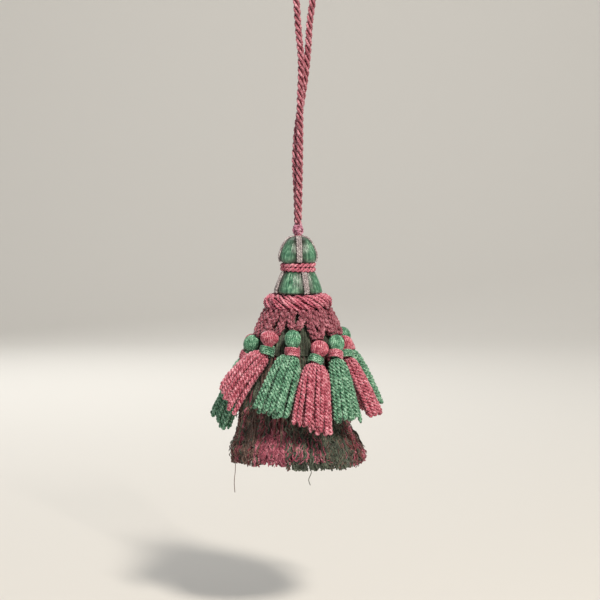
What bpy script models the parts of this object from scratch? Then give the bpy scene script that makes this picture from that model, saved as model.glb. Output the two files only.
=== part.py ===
"""A hanging key tassel: a looped cord, a yarn-covered head, a rope ruff, twelve small tassels and a cut skirt.

Run with: blender --background --python part.py
Lengths below are in millimetres and angles in degrees; the scene itself is in metres, +Z up.
The origin is inside the top of the cord's loop, where a hook or knob bears. The front faces -Y.
Azimuth is measured round the tassel's own axis, from the front (-Y) towards +X.
"""

import math
import random
from collections import namedtuple

import bmesh
import bpy
from mathutils import Matrix, Vector, geometry

MM = 0.001
GAP = 0.3  # clear space between two pieces that touch on the real thing

# ---------------------------------------------------------------- where things are

AXIS_X = -3.6  # the tassel hangs a little to the left of the loop's top
RUFF_Z = -156.6  # height of the ruff's centre; heights and drops below count from it

# ---------------------------------------------------------------- the hanging cord

CORD_RADIUS = 1.5
CORD_PLIES = 3
CORD_VALLEY = 0.70  # radius between two plies, as a share of the radius on a ply
CORD_PITCH = 9.9  # length of one full turn of a ply
CORD_STEPS_PER_TURN = 8
LOOP_RADIUS = 6.2  # centre-line of the bend at the top

# The two legs lie opposite each other about a middle line, half_gap from it.
# turn is how far the left leg has swung round that line towards the front.
LegRow = namedtuple("LegRow", "z middle_x half_gap turn")
LEG_ROWS = [
    LegRow(-12.0, -0.2, 5.4, 0),
    LegRow(-22.0, -0.6, 3.9, 0),
    LegRow(-34.8, -1.05, 2.55, 0),
    LegRow(-42.0, -0.95, 2.05, 8),
    LegRow(-50.2, -0.9, 1.69, 38),
    LegRow(-59.0, -1.4, 1.66, 60),
    LegRow(-68.0, -2.3, 1.66, 78),
    LegRow(-81.0, -3.3, 1.66, 112),
    LegRow(-94.0, -3.8, 1.66, 126),
    LegRow(-103.0, -3.7, 1.66, 116),
    LegRow(-112.0, -3.6, 1.66, 105),
    LegRow(-121.6, -3.6, 1.66, 97),
]

# ---------------------------------------------------------------- knot, head, bindings

KnotRow = namedtuple("KnotRow", "height radius")
KNOT_ROWS = [
    KnotRow(34.7, 2.1),
    KnotRow(33.9, 2.7),
    KnotRow(32.6, 3.1),
    KnotRow(31.2, 3.0),
    KnotRow(30.0, 2.4),
    KnotRow(29.3, 1.7),
]
KNOT_PLIES = 4
KNOT_TURN = 150  # how far the knot's plies wind round it from top to bottom

HEAD_COLUMNS = 24
ProfileRow = namedtuple("ProfileRow", "radius height")
HEAD_PROFILE = [
    ProfileRow(0.0, 29.0),
    ProfileRow(2.6, 28.8),
    ProfileRow(4.2, 28.2),
    ProfileRow(5.8, 26.9),
    ProfileRow(7.3, 24.4),
    ProfileRow(8.35, 21.8),
    ProfileRow(8.6, 19.8),
    ProfileRow(8.3, 18.3),
    ProfileRow(7.2, 17.5),
    ProfileRow(5.7, 17.3),  # floor of the waist groove
    ProfileRow(5.7, 13.8),
    ProfileRow(7.1, 13.6),
    ProfileRow(7.9, 12.5),
    ProfileRow(9.0, 10.4),
    ProfileRow(10.1, 7.6),
    ProfileRow(10.75, 5.3),
    ProfileRow(10.7, 4.5),
    ProfileRow(10.2, 4.1),
    ProfileRow(6.9, 4.0),  # spigot through the ruff
    ProfileRow(6.9, -4.4),
    ProfileRow(0.0, -4.4),
]

RIB_WIDTH = 1.7
RIB_THICKNESS = 0.8
DOME_RIB_AZIMUTH = 5
DOME_RIB_ROWS = HEAD_PROFILE[2:8]
BELL_RIB_AZIMUTH = 22
BELL_RIB_ROWS = HEAD_PROFILE[12:16]
RIB_COUNT = 4

WAIST_SECTION = [  # two rounds of cord, seen cut through
    ProfileRow(6.1, 17.0),
    ProfileRow(7.15, 17.0),
    ProfileRow(7.65, 16.3),
    ProfileRow(7.2, 15.55),
    ProfileRow(7.65, 14.8),
    ProfileRow(7.15, 14.1),
    ProfileRow(6.1, 14.1),
]

# ---------------------------------------------------------------- the ruff

RUFF_RING_RADIUS = 11.0
RUFF_ROPE_RADIUS = 3.75
RUFF_PLIES = 5
RUFF_VALLEY = 0.74
RUFF_TURNS = 3  # full turns of each ply round the closed ring
RUFF_STEPS = 60

# ---------------------------------------------------------------- small tassels

BALL_RADIUS = 3.4
BALL_FLAT_RADIUS = 3.22  # across the flats of its few faces, where the hanger bears
NECK_CORE_RADIUS = 2.1
NECK_TO_BALL = 6.1  # neck's middle to ball's centre
ROOT_RADIUS = 3.0
ROOT_TOP = -2.0  # the skirt's roots, counted from the neck's middle
ROOT_BOTTOM = -3.7
STEM_COLUMNS = 8
STRANDS_PER_STEM_COLUMN = 2
SHOULDER_DROP = 4.8  # the skirt is full this far below the neck's middle

NECK_BINDING_SECTION = [
    ProfileRow(2.42, 1.9),
    ProfileRow(2.9, 1.9),
    ProfileRow(3.25, 0.9),
    ProfileRow(3.25, -0.7),
    ProfileRow(2.9, -1.6),
    ProfileRow(2.42, -1.6),
]

# Each place is (azimuth, distance from the axis, drop below the ruff's centre). The stem runs from the
# neck towards ball.
# facing is the azimuth that the skirt's broad side faces, half_width half its width at the foot, bow how
# far its middle hangs to one side.
Place = namedtuple("Place", "azimuth radius drop")
SmallTassel = namedtuple("SmallTassel", "colour top_azimuth ball neck foot facing half_width bow", defaults=[0.0])
SMALL_TASSELS = [
    SmallTassel("green", 0, Place(-6, 21.1, 13.8), Place(-6, 23.0, 20.0), Place(-20, 33.5, 44.8), -14, 9.1),
    SmallTassel("rose", 30, Place(27, 21.1, 18.0), Place(19, 23.3, 23.6), Place(9.5, 34.9, 51.9), 9, 9.2),
    SmallTassel("green", 60, Place(52, 21.2, 16.0), Place(44, 23.4, 22.0), Place(38.8, 33.9, 48.6), 40, 7.6),
    SmallTassel("rose", 90, Place(78, 20.4, 16.7), Place(69, 22.6, 23.0), Place(69.2, 36.2, 48.2), 75, 7.6),
    SmallTassel("green", 120, Place(108, 20.7, 14.8), Place(103, 22.6, 20.9), Place(99, 34.9, 45.5), 99, 8.2),
    SmallTassel("rose", 150, Place(136, 21.1, 16.5), Place(131, 23.2, 22.6), Place(127, 34.6, 50.0), 127, 8.4),
    SmallTassel("green", 180, Place(167, 21.1, 14.2), Place(162, 23.1, 20.4), Place(157, 33.8, 47.0), 157, 8.4),
    SmallTassel("rose", 210, Place(198, 21.1, 17.2), Place(192, 23.3, 23.2), Place(187, 34.8, 51.0), 187, 8.6),
    SmallTassel("green", 240, Place(227, 21.1, 14.6), Place(222, 23.1, 20.8), Place(217, 33.9, 47.5), 217, 8.4),
    SmallTassel("rose", 270, Place(256, 20.4, 17.5), Place(251, 22.9, 23.5), Place(246, 34.5, 50.3), 246, 8.3),
    SmallTassel("green", 300, Place(285, 20.9, 17.4), Place(282, 22.9, 23.5), Place(280, 35.2, 51.3), 312, 7.8, 0.9),
    SmallTassel("rose", 330, Place(325, 21.1, 13.4), Place(325, 23.2, 19.8), Place(304, 36.6, 40.8), 338, 7.9, -1.3),
]

# A small skirt's sections: share of the way from neck to foot, size, and strand depth.
SkirtRow = namedtuple("SkirtRow", "share half_width half_depth depth swell")
SHOULDER_HALF_WIDTH = 5.6
SHOULDER_HALF_DEPTH = 3.9
FOOT_HALF_DEPTH = 3.7
BELLY_SHARE = 0.62  # a middle section, where the skirt swells a little outwards
BELLY_SWELL = 0.5
STRAND_FILL = 0.84  # strand width as a share of its spacing
STRAND_DEPTH_SHOULDER = 1.6
STRAND_DEPTH_FOOT = 1.9
SMALL_TIP_SPREAD = 1.0  # most that a strand's tip lies above or below its neighbours

HANGER_RADIUS = 1.35
HANGER_TOP_RING = 13.1  # distance from the axis of the hanger's two tucked ends
HANGER_TOP_DROP = 4.0
HANGER_TOP_SPREAD = 1.7  # half the distance between the two legs under the ruff
HANGER_WAIST_SPREAD = 2.4  # and half way down, where they bow apart
HANGER_BEND_RADIUS = 1.6

# ---------------------------------------------------------------- the main skirt

SKIRT_COLUMNS = 14
SKIRT_BACKING = [  # radius and height of the bound yarn heads, under the head's spigot
    ProfileRow(0.0, -4.7),
    ProfileRow(9.5, -4.7),
    ProfileRow(11.0, -5.8),
    ProfileRow(12.2, -8.0),
    ProfileRow(14.0, -10.6),
    ProfileRow(15.9, -14.0),
    ProfileRow(16.7, -17.0),
    ProfileRow(16.7, -19.0),
    ProfileRow(11.5, -19.6),
    ProfileRow(6.0, -19.8),
    ProfileRow(2.0, -19.8),
    ProfileRow(0.0, -19.8),
]
OUTER_ROOT_BAND = (-17.0, -19.0)
MIDDLE_ROOT_BAND = (-19.6, -19.8)
INNER_ROOT_RADII = (6.0, 2.0)

# right is how much further out the locks on the right hang than the rest
LockRow = namedtuple("LockRow", "radius drop depth right")
OUTER_LOCKS = [
    LockRow(18.4, 25.0, 1.9, 0.0),
    LockRow(22.2, 44.0, 2.0, -2.0),
    LockRow(25.2, 55.5, 2.1, -2.6),
    LockRow(29.1, 64.0, 2.4, -2.0),
    LockRow(28.9, 69.6, 2.4, 0.5),
]
MIDDLE_LOCKS = [LockRow(13.4, 40.0, 9.0, -0.5), LockRow(20.9, 69.0, 9.4, -1.5)]
INNER_LOCKS = [LockRow(5.2, 40.0, 5.6, 0.0), LockRow(9.0, 68.5, 10.4, 0.0)]
OUTER_CUTS = 3  # each backing column carries one more lock than this
HEM_WAVE = 1.3  # the cut hem rises and falls by this much
HEM_WAVES = ((3, 40), (5, 200))  # waves round the hem, and where each starts
HEM_SPREAD = 0.6

# ---------------------------------------------------------------- colours

Finish = namedtuple("Finish", "red green blue roughness")
FINISHES = {
    "rose": Finish(0.45, 0.085, 0.12, 0.75),
    "green": Finish(0.07, 0.22, 0.13, 0.72),
    "pale": Finish(0.50, 0.36, 0.34, 0.70),
    "mixed": Finish(0.17, 0.07, 0.07, 0.85),
}


def clear_scene():
    for obj in list(bpy.data.objects):
        bpy.data.objects.remove(obj, do_unlink=True)


def make_material(name, finish):
    material = bpy.data.materials.new(name)
    material.use_nodes = True
    shader = material.node_tree.nodes["Principled BSDF"]
    shader.inputs["Base Color"].default_value = (finish.red, finish.green, finish.blue, 1)
    shader.inputs["Roughness"].default_value = finish.roughness
    shader.inputs["Metallic"].default_value = 0
    return material


def add_object(name, data, material=None):
    obj = bpy.data.objects.new(name, data)
    bpy.context.scene.collection.objects.link(obj)
    if material:
        data.materials.append(material)
    return obj


def add_mesh(name, bm, material):
    mesh = bpy.data.meshes.new(name)
    bmesh.ops.scale(bm, vec=(MM, MM, MM), verts=bm.verts)
    bm.to_mesh(mesh)
    bm.free()
    return add_object(name, mesh, material)


# ---------------------------------------------------------------- directions round the axis


def outward(azimuth):
    a = math.radians(azimuth)
    return Vector((math.sin(a), -math.cos(a), 0))


def sideways(azimuth):
    """Towards a larger azimuth, level."""
    a = math.radians(azimuth)
    return Vector((math.cos(a), math.sin(a), 0))


def at(place):
    """A place's point, from the ruff's centre."""
    return outward(place.azimuth) * place.radius - Vector((0, 0, place.drop))


def ball_centre(tassel):
    neck = at(tassel.neck)
    return neck + (at(tassel.ball) - neck).normalized() * NECK_TO_BALL


def ruff_centre():
    return Vector((AXIS_X, 0, RUFF_Z))


def upright_frame(up, side):
    """A matrix whose Z is up and whose X is as near side as that allows."""
    z = up.normalized()
    x = (side - z * side.dot(z)).normalized()
    return Matrix((x, z.cross(x), z)).transposed().to_4x4()


# ---------------------------------------------------------------- lines


def smooth_line(points, step):
    """Points about step apart along a smooth curve through the given points."""
    fine = [points[0]]
    for i in range(len(points) - 1):
        before, start, end, after = (points[min(max(i + k, 0), len(points) - 1)] for k in (-1, 0, 1, 2))
        handle_out, handle_in = start + (end - before) / 6, end - (after - start) / 6
        fine += geometry.interpolate_bezier(start, handle_out, handle_in, end, 17)[1:]
    return spaced_line(fine, step)


def spaced_line(fine, step):
    """The line again, in equal steps."""
    along = [0.0]
    for a, b in zip(fine, fine[1:]):
        along.append(along[-1] + (b - a).length)
    count = max(1, round(along[-1] / step))
    line, piece = [], 0
    for k in range(count + 1):
        target = along[-1] * k / count
        while piece < len(fine) - 2 and along[piece + 1] < target:
            piece += 1
        share = (target - along[piece]) / (along[piece + 1] - along[piece])
        line.append(fine[piece].lerp(fine[piece + 1], min(share, 1)))
    return line


# ---------------------------------------------------------------- ropes, as bevelled curves


def ply_section(name, plies, radius, valley):
    """A closed curve with a bump for each ply, for ropes to carry as their cross-section."""
    count = 2 * plies
    corners = []
    for i in range(count):
        angle = 2 * math.pi * i / count
        reach = radius * (1 if i % 2 == 0 else valley)
        corners.append((reach * math.cos(angle), reach * math.sin(angle)))
    return section_curve(name, corners)


def section_curve(name, corners):
    curve = bpy.data.curves.new(name, "CURVE")
    curve.dimensions = "2D"
    spline = curve.splines.new("POLY")
    spline.points.add(len(corners) - 1)
    for point, (x, y) in zip(spline.points, reversed(corners)):
        point.co = (x * MM, y * MM, 0, 1)
    spline.use_cyclic_u = True
    guide = add_object(name, curve)
    guide.hide_render = True
    guide.display_type = "WIRE"
    return guide


def add_rope(name, line, section, tilts, material, cyclic=False, radii=None):
    """A curve along line, in millimetres, whose cross-section turns by tilts as it goes."""
    curve = bpy.data.curves.new(name, "CURVE")
    curve.dimensions = "3D"
    curve.twist_mode = "MINIMUM"
    curve.bevel_mode = "OBJECT"
    curve.bevel_object = section
    curve.use_fill_caps = not cyclic
    spline = curve.splines.new("POLY")
    spline.points.add(len(line) - 1)
    for i, point in enumerate(spline.points):
        point.co = (*(line[i] * MM), 1)
        point.tilt = tilts[i]
        point.radius = radii[i] if radii else 1
    spline.use_cyclic_u = cyclic
    return add_object(name, curve, material)


# ---------------------------------------------------------------- turned solids


def turned(profile, columns):
    """A solid of revolution about Z. The profile runs down its outer side, from axis to axis."""
    bm = bmesh.new()
    verts = [bm.verts.new((row.radius, 0, row.height)) for row in profile]
    edges = [bm.edges.new(pair) for pair in zip(verts, verts[1:])]
    spin(bm, verts + edges, columns)
    return bm


def turned_ring(section, columns):
    """A ring about Z whose cross-section is the closed outline given."""
    bm = bmesh.new()
    verts = [bm.verts.new((row.radius, 0, row.height)) for row in section]
    edges = [bm.edges.new(pair) for pair in zip(verts, verts[1:] + verts[:1])]
    spin(bm, verts + edges, columns)
    return bm


def spin(bm, outline, columns):
    bmesh.ops.spin(
        bm, geom=outline, cent=(0, 0, 0), axis=(0, 0, 1), angle=2 * math.pi, steps=columns, use_merge=True
    )
    bmesh.ops.remove_doubles(bm, verts=bm.verts, dist=0.001)
    bmesh.ops.recalc_face_normals(bm, faces=bm.faces)


# ---------------------------------------------------------------- strands drawn from a backing


def band_faces(bm, top, bottom, inner=0.0, outer=1e3):
    """The faces between two heights and two radii, in order round the axis."""
    found = []
    for face in bm.faces:
        heights = [v.co.z for v in face.verts]
        radii = [v.co.xy.length for v in face.verts]
        if max(heights) < top + 0.01 and min(heights) > bottom - 0.01:
            if max(radii) < outer + 0.01 and min(radii) > inner - 0.01:
                found.append(face)
    return sorted(found, key=face_angle)


def face_angle(face):
    centre = face.calc_center_median()
    return math.atan2(centre.y, centre.x) % (2 * math.pi)


def split_band(bm, top, bottom, radius, cuts):
    """Cuts the faces of a cylindrical band into narrower ones."""
    rims = []
    for edge in bm.edges:
        a, b = edge.verts
        level = abs(a.co.z - b.co.z) < 0.01 and min(abs(a.co.z - h) for h in (top, bottom)) < 0.01
        if level and abs(a.co.xy.length - radius) < 0.01 and abs(b.co.xy.length - radius) < 0.01:
            rims.append(edge)
    bmesh.ops.subdivide_edges(bm, edges=rims, cuts=cuts)


def corner_order(face, outer_first):
    """For each corner of a root face: which side it lies on, and whether it starts the strand's outer face."""
    angle = face_angle(face)
    centre = face.calc_center_median()
    order = []
    for vert in face.verts:
        turn = (math.atan2(vert.co.y, vert.co.x) - angle + math.pi) % (2 * math.pi) - math.pi
        side = 1 if turn > 0 else -1
        order.append((side, 1 if outer_first(vert.co, centre) else -1))
    return order


def is_higher(corner, centre):
    return corner.z > centre.z


def is_further(corner, centre):
    return corner.xy.length > centre.xy.length


def draw_strand(bm, face, order, sections):
    """Draws one strand out of a root face. A section gives the point for each (side, outer) corner."""
    for corners in sections:
        face = bmesh.ops.extrude_discrete_faces(bm, faces=[face])["faces"][0]
        for vert, corner in zip(face.verts, order):
            vert.co = corners[corner]


def oval_spans(half_width, half_depth, count):
    """The strands' spans round an oval, evenly spaced: (start, end) angles with a gap between them."""
    fine = 360
    angles = [2 * math.pi * i / fine for i in range(fine + 1)]
    points = [Vector((half_width * math.cos(a), half_depth * math.sin(a))) for a in angles]
    along = [0.0]
    for a, b in zip(points, points[1:]):
        along.append(along[-1] + (b - a).length)
    edges = []
    for k in range(count):
        for share in (1 - STRAND_FILL, 1 + STRAND_FILL):
            target = along[-1] * (k + share / 2) / count
            edges.append(angles[next(j for j in range(fine + 1) if along[j] >= target)])
    return list(zip(edges[::2], edges[1::2]))


# ---------------------------------------------------------------- the pieces


def leg_point(row, side):
    """side is -1 for the left leg and 1 for the right one."""
    turn = math.radians(row.turn)
    across = Vector((math.cos(turn), math.sin(turn), 0)) * row.half_gap * side
    return Vector((row.middle_x, 0, row.z)) + across


def cord_route():
    """Up the left leg, round the bend and down the right leg."""
    centre = Vector((0, 0, CORD_RADIUS - LOOP_RADIUS))
    bend = []
    for degrees in range(180, -1, -30):
        a = math.radians(degrees)
        bend.append(centre + Vector((math.cos(a), 0, math.sin(a))) * LOOP_RADIUS)
    left = [leg_point(row, -1) for row in reversed(LEG_ROWS)]
    right = [leg_point(row, 1) for row in LEG_ROWS]
    return left + bend + right


def build_cord(material):
    line = smooth_line(cord_route(), CORD_PITCH / CORD_STEPS_PER_TURN)
    section = ply_section("guide_cord_section", CORD_PLIES, CORD_RADIUS, CORD_VALLEY)
    turn = 2 * math.pi / CORD_STEPS_PER_TURN
    tilts = [-turn * i for i in range(len(line))]  # S-laid
    add_rope("hanging_cord", line, section, tilts, material)


def build_knot(material):
    widest = max(row.radius for row in KNOT_ROWS)
    section = ply_section("guide_knot_section", KNOT_PLIES, widest, 0.86)
    line = [Vector((AXIS_X, 0, RUFF_Z + row.height)) for row in KNOT_ROWS]
    radii = [row.radius / widest for row in KNOT_ROWS]
    tilts = [math.radians(KNOT_TURN) * i / (len(line) - 1) for i in range(len(line))]
    add_rope("knot", line, section, tilts, material, radii=radii)


def build_head(material):
    head = add_mesh("head", turned(HEAD_PROFILE, HEAD_COLUMNS), material)
    head.location = ruff_centre() * MM
    shade_round(head, 35)


def shade_round(obj, sharp_degrees):
    obj.data.shade_smooth()
    obj.data.set_sharp_from_angle(angle=math.radians(sharp_degrees))


def build_ribs(material):
    half_width, half_thickness = RIB_WIDTH / 2, RIB_THICKNESS / 2
    corners = [
        (-half_width, 0),
        (-half_width * 0.6, -half_thickness),
        (half_width * 0.6, -half_thickness),
        (half_width, 0),
        (half_width * 0.6, half_thickness),
        (-half_width * 0.6, half_thickness),
    ]
    section = section_curve("guide_rib_section", corners)
    for place, rows, first in (
        ("dome", DOME_RIB_ROWS, DOME_RIB_AZIMUTH),
        ("bell", BELL_RIB_ROWS, BELL_RIB_AZIMUTH),
    ):
        for i in range(RIB_COUNT):
            azimuth = first + 360 / RIB_COUNT * i
            line = [ruff_centre() + point for point in rib_line(rows, azimuth)]
            name = f"{place}_rib_{i + 1}"
            add_rope(name, line, section, [0] * len(line), material)


def rib_line(rows, azimuth):
    """A line that follows the head's profile, half a rib's thickness and a gap outside it."""
    out = outward(azimuth)
    line = []
    for i, row in enumerate(rows):
        above, below = rows[max(i - 1, 0)], rows[min(i + 1, len(rows) - 1)]
        along = Vector((below.radius - above.radius, below.height - above.height)).normalized()
        lift = RIB_THICKNESS / 2 + GAP
        radius, height = row.radius - along.y * lift, row.height + along.x * lift
        line.append(out * radius + Vector((0, 0, height)))
    return line


def build_waist(material):
    waist = add_mesh("waist_binding", turned_ring(WAIST_SECTION, HEAD_COLUMNS), material)
    waist.location = ruff_centre() * MM
    shade_round(waist, 50)


def build_ruff(material):
    section = ply_section("guide_ruff_section", RUFF_PLIES, RUFF_ROPE_RADIUS, RUFF_VALLEY)
    line, tilts = [], []
    for i in range(RUFF_STEPS):
        azimuth = 360 * i / RUFF_STEPS
        line.append(ruff_centre() + outward(azimuth) * RUFF_RING_RADIUS)
        tilts.append(2 * math.pi * RUFF_TURNS * i / RUFF_STEPS)
    add_rope("ruff", line, section, tilts, material, cyclic=True)


def hanger_line(tassel):
    """From under the ruff down to the ball's top, round a tight bend and back up."""
    ball = ball_centre(tassel)
    top = at(Place(tassel.top_azimuth, HANGER_TOP_RING, HANGER_TOP_DROP))
    side = sideways((tassel.top_azimuth + tassel.ball.azimuth) / 2)
    up = (top - ball).normalized()
    bend = ball + up * (BALL_FLAT_RADIUS + GAP + HANGER_RADIUS)
    elbow = bend + up * HANGER_BEND_RADIUS
    legs = []
    for hand in (side, -side):
        leg = [top + hand * HANGER_TOP_SPREAD, top.lerp(elbow, 0.45) + hand * HANGER_WAIST_SPREAD]
        leg.append(elbow + hand * HANGER_BEND_RADIUS)
        leg.append(elbow + (hand - up) * HANGER_BEND_RADIUS * math.sqrt(0.5))
        legs.append(leg)
    return legs[0] + [bend] + legs[1][::-1]


def build_hanger(number, tassel, section, material):
    line = [ruff_centre() + point for point in hanger_line(tassel)]
    add_rope(f"hanger_{number:02}", line, section, [0] * len(line), material)


def stem_profile():
    """Ball, neck core and the cylinder that carries the skirt's roots, from the ball's top down."""
    rows = [ProfileRow(0, NECK_TO_BALL + BALL_RADIUS)]
    for degrees in (38, 68, 96, 124):
        a = math.radians(degrees)
        rows.append(ProfileRow(BALL_RADIUS * math.sin(a), NECK_TO_BALL + BALL_RADIUS * math.cos(a)))
    lowest = math.asin(NECK_CORE_RADIUS / BALL_RADIUS)
    rows.append(ProfileRow(NECK_CORE_RADIUS, NECK_TO_BALL - BALL_RADIUS * math.cos(lowest)))
    rows += [ProfileRow(NECK_CORE_RADIUS, ROOT_TOP), ProfileRow(ROOT_RADIUS, ROOT_TOP)]
    rows += [ProfileRow(ROOT_RADIUS, ROOT_BOTTOM), ProfileRow(0, ROOT_BOTTOM)]
    return rows


def small_skirt_sections(tassel, to_local, scatter):
    """For each strand its sections, in the stem's own frame."""
    neck, foot = at(tassel.neck), at(tassel.foot)
    down = (foot - neck).normalized()
    across = sideways(tassel.facing)
    across = (across - down * across.dot(down)).normalized()
    inward = across.cross(down)
    count = STEM_COLUMNS * STRANDS_PER_STEM_COLUMN
    tips = [scatter.uniform(-SMALL_TIP_SPREAD, SMALL_TIP_SPREAD) for _ in range(count)]
    strands = [[] for _ in range(count)]
    for row in small_skirt_rows(tassel.half_width, (foot - neck).length):
        sideways_bow = 4 * tassel.bow * row.share * (1 - row.share)
        middle = neck.lerp(foot, row.share) - inward * row.swell + across * sideways_bow
        spans = oval_spans(row.half_width - row.depth / 2, row.half_depth - row.depth / 2, count)
        for k, span in enumerate(spans):
            corners = {}
            for side, angle in zip((-1, 1), span):
                for outer, trim in ((1, 0), (-1, row.depth)):
                    x = (row.half_width - trim) * math.cos(angle)
                    y = (row.half_depth - trim) * math.sin(angle)
                    point = middle + across * x + inward * y + down * (tips[k] * (row.share == 1))
                    corners[side, outer] = to_local @ point
            strands[k].append(corners)
    return strands


def small_skirt_rows(foot_half_width, length):
    shoulder = SkirtRow(
        SHOULDER_DROP / length, SHOULDER_HALF_WIDTH, SHOULDER_HALF_DEPTH, STRAND_DEPTH_SHOULDER, 0
    )
    foot = SkirtRow(1, foot_half_width, FOOT_HALF_DEPTH, STRAND_DEPTH_FOOT, 0)
    widening = BELLY_SHARE - shoulder.share * 0.5
    belly = SkirtRow(
        BELLY_SHARE,
        shoulder.half_width + (foot.half_width - shoulder.half_width) * widening,
        (shoulder.half_depth + foot.half_depth) / 2,
        (shoulder.depth + foot.depth) / 2,
        BELLY_SWELL,
    )
    return shoulder, belly, foot


def build_small_tassel(number, tassel, materials, scatter):
    neck = at(tassel.neck)
    up = ball_centre(tassel) - neck
    frame = Matrix.Translation(neck) @ upright_frame(up, sideways(tassel.neck.azimuth))
    bm = turned(stem_profile(), STEM_COLUMNS)
    split_band(bm, ROOT_TOP, ROOT_BOTTOM, ROOT_RADIUS, STRANDS_PER_STEM_COLUMN - 1)
    roots = band_faces(bm, ROOT_TOP, ROOT_BOTTOM, inner=ROOT_RADIUS - 0.3)
    orders = [corner_order(face, is_higher) for face in roots]
    strands = small_skirt_sections(tassel, frame.inverted(), scatter)
    for face, order, sections in zip(roots, orders, strands):
        draw_strand(bm, face, order, sections)
    place = Matrix.Translation(ruff_centre() * MM) @ in_metres(frame)
    stem = add_mesh(f"small_tassel_{number:02}", bm, materials[tassel.colour])
    stem.matrix_world = place
    ring = turned_ring(NECK_BINDING_SECTION, STEM_COLUMNS)
    other = "rose" if tassel.colour == "green" else "green"
    binding = add_mesh(f"neck_{number:02}", ring, materials[other])
    binding.matrix_world = place
    for obj in (stem, binding):
        shade_round(obj, 50)


def in_metres(frame):
    scaled = frame.copy()
    scaled.translation = frame.translation * MM
    return scaled


def hem_offset(azimuth):
    total = 0.0
    for waves, start in HEM_WAVES:
        total += math.sin(math.radians(waves * azimuth + start))
    return HEM_WAVE * total / len(HEM_WAVES)


def lock_sections(rows, angle, spacing, tip_drop):
    """One lock's sections. angle is counter-clockwise from +X, as the backing's faces are sorted."""
    sections = []
    for i, row in enumerate(rows):
        drop = row.drop + (tip_drop if i == len(rows) - 1 else 0)
        reach_right = row.right * max(0.0, math.cos(angle)) ** 3
        corners = {}
        for side in (-1, 1):
            a = angle + side * spacing / 2 * STRAND_FILL
            for outer in (-1, 1):
                reach = row.radius + reach_right + outer * row.depth / 2
                corners[side, outer] = Vector((reach * math.cos(a), reach * math.sin(a), -drop))
        sections.append(corners)
    return sections


def build_main_skirt(material, scatter):
    bm = turned(SKIRT_BACKING, SKIRT_COLUMNS)
    top, bottom = OUTER_ROOT_BAND
    rim = SKIRT_BACKING[6].radius
    split_band(bm, top, bottom, rim, OUTER_CUTS)
    outer = band_faces(bm, top, bottom, inner=rim - 0.5)
    middle = band_faces(bm, *MIDDLE_ROOT_BAND, inner=5.9, outer=11.6)
    widest, narrowest = INNER_ROOT_RADII
    inner = band_faces(bm, -19.7, -19.8, inner=narrowest - 0.1, outer=widest)[::2]
    groups = [
        (outer, OUTER_LOCKS, is_higher),
        (middle, MIDDLE_LOCKS, is_further),
        (inner, INNER_LOCKS, is_further),
    ]
    for faces, rows, outer_first in groups:
        angles = [face_angle(face) for face in faces]
        orders = [corner_order(face, outer_first) for face in faces]
        for face, angle, order in zip(faces, angles, orders):
            tip = hem_offset(math.degrees(angle)) + scatter.uniform(-HEM_SPREAD, HEM_SPREAD)
            sections = lock_sections(rows, angle, 2 * math.pi / len(faces), tip)
            draw_strand(bm, face, order, sections)
    skirt = add_mesh("main_skirt", bm, material)
    skirt.location = ruff_centre() * MM


def build():
    clear_scene()
    scatter = random.Random(7)
    materials = {name: make_material(name, finish) for name, finish in FINISHES.items()}
    build_cord(materials["rose"])
    build_knot(materials["rose"])
    build_head(materials["green"])
    build_ribs(materials["pale"])
    build_waist(materials["rose"])
    build_ruff(materials["rose"])
    hanger_section = section_curve("guide_hanger_section", hanger_corners())
    for number, tassel in enumerate(SMALL_TASSELS, 1):
        build_hanger(number, tassel, hanger_section, materials["rose"])
        build_small_tassel(number, tassel, materials, scatter)
    build_main_skirt(materials["mixed"], scatter)


def hanger_corners():
    sides = 5
    angles = [2 * math.pi * i / sides for i in range(sides)]
    return [(HANGER_RADIUS * math.cos(a), HANGER_RADIUS * math.sin(a)) for a in angles]


build()
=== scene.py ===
# Hanging key tassel: looped cord, knot, yarn-covered head, rope ruff, ring of small tassels, cut skirt.
# The stage is in metres, and all else in millimetres until makeTubes or placeMesh turns it to metres.
# A place round the tassel is (azimuth, radius, drop): degrees from the front towards the right,
# distance from the axis, and drop below the middle of the ruff. Heights count up from there.
import math
import random
from collections import namedtuple

import bmesh
import bpy
from mathutils import Matrix, Vector, geometry


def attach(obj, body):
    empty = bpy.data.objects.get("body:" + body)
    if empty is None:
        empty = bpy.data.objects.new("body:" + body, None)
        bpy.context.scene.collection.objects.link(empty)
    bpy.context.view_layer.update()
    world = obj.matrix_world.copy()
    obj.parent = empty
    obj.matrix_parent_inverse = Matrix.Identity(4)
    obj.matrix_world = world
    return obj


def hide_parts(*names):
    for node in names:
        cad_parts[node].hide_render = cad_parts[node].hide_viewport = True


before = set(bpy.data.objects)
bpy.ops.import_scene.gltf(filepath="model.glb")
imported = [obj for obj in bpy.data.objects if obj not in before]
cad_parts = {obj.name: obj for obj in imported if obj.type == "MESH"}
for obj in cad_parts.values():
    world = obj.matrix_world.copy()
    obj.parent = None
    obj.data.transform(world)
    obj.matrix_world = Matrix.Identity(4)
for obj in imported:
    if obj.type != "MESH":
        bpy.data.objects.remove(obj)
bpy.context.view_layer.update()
mm = 0.001
ruffCentre = Vector((-3.6, 0, -156.6))
upright = Vector((0, 0, 1))
scatter = random.Random(5)
anyPhase = (0, 6.3)  # radians


def eitherSide(reach):
    return scatter.uniform(-reach, reach)


# camera, light and floor

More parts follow.
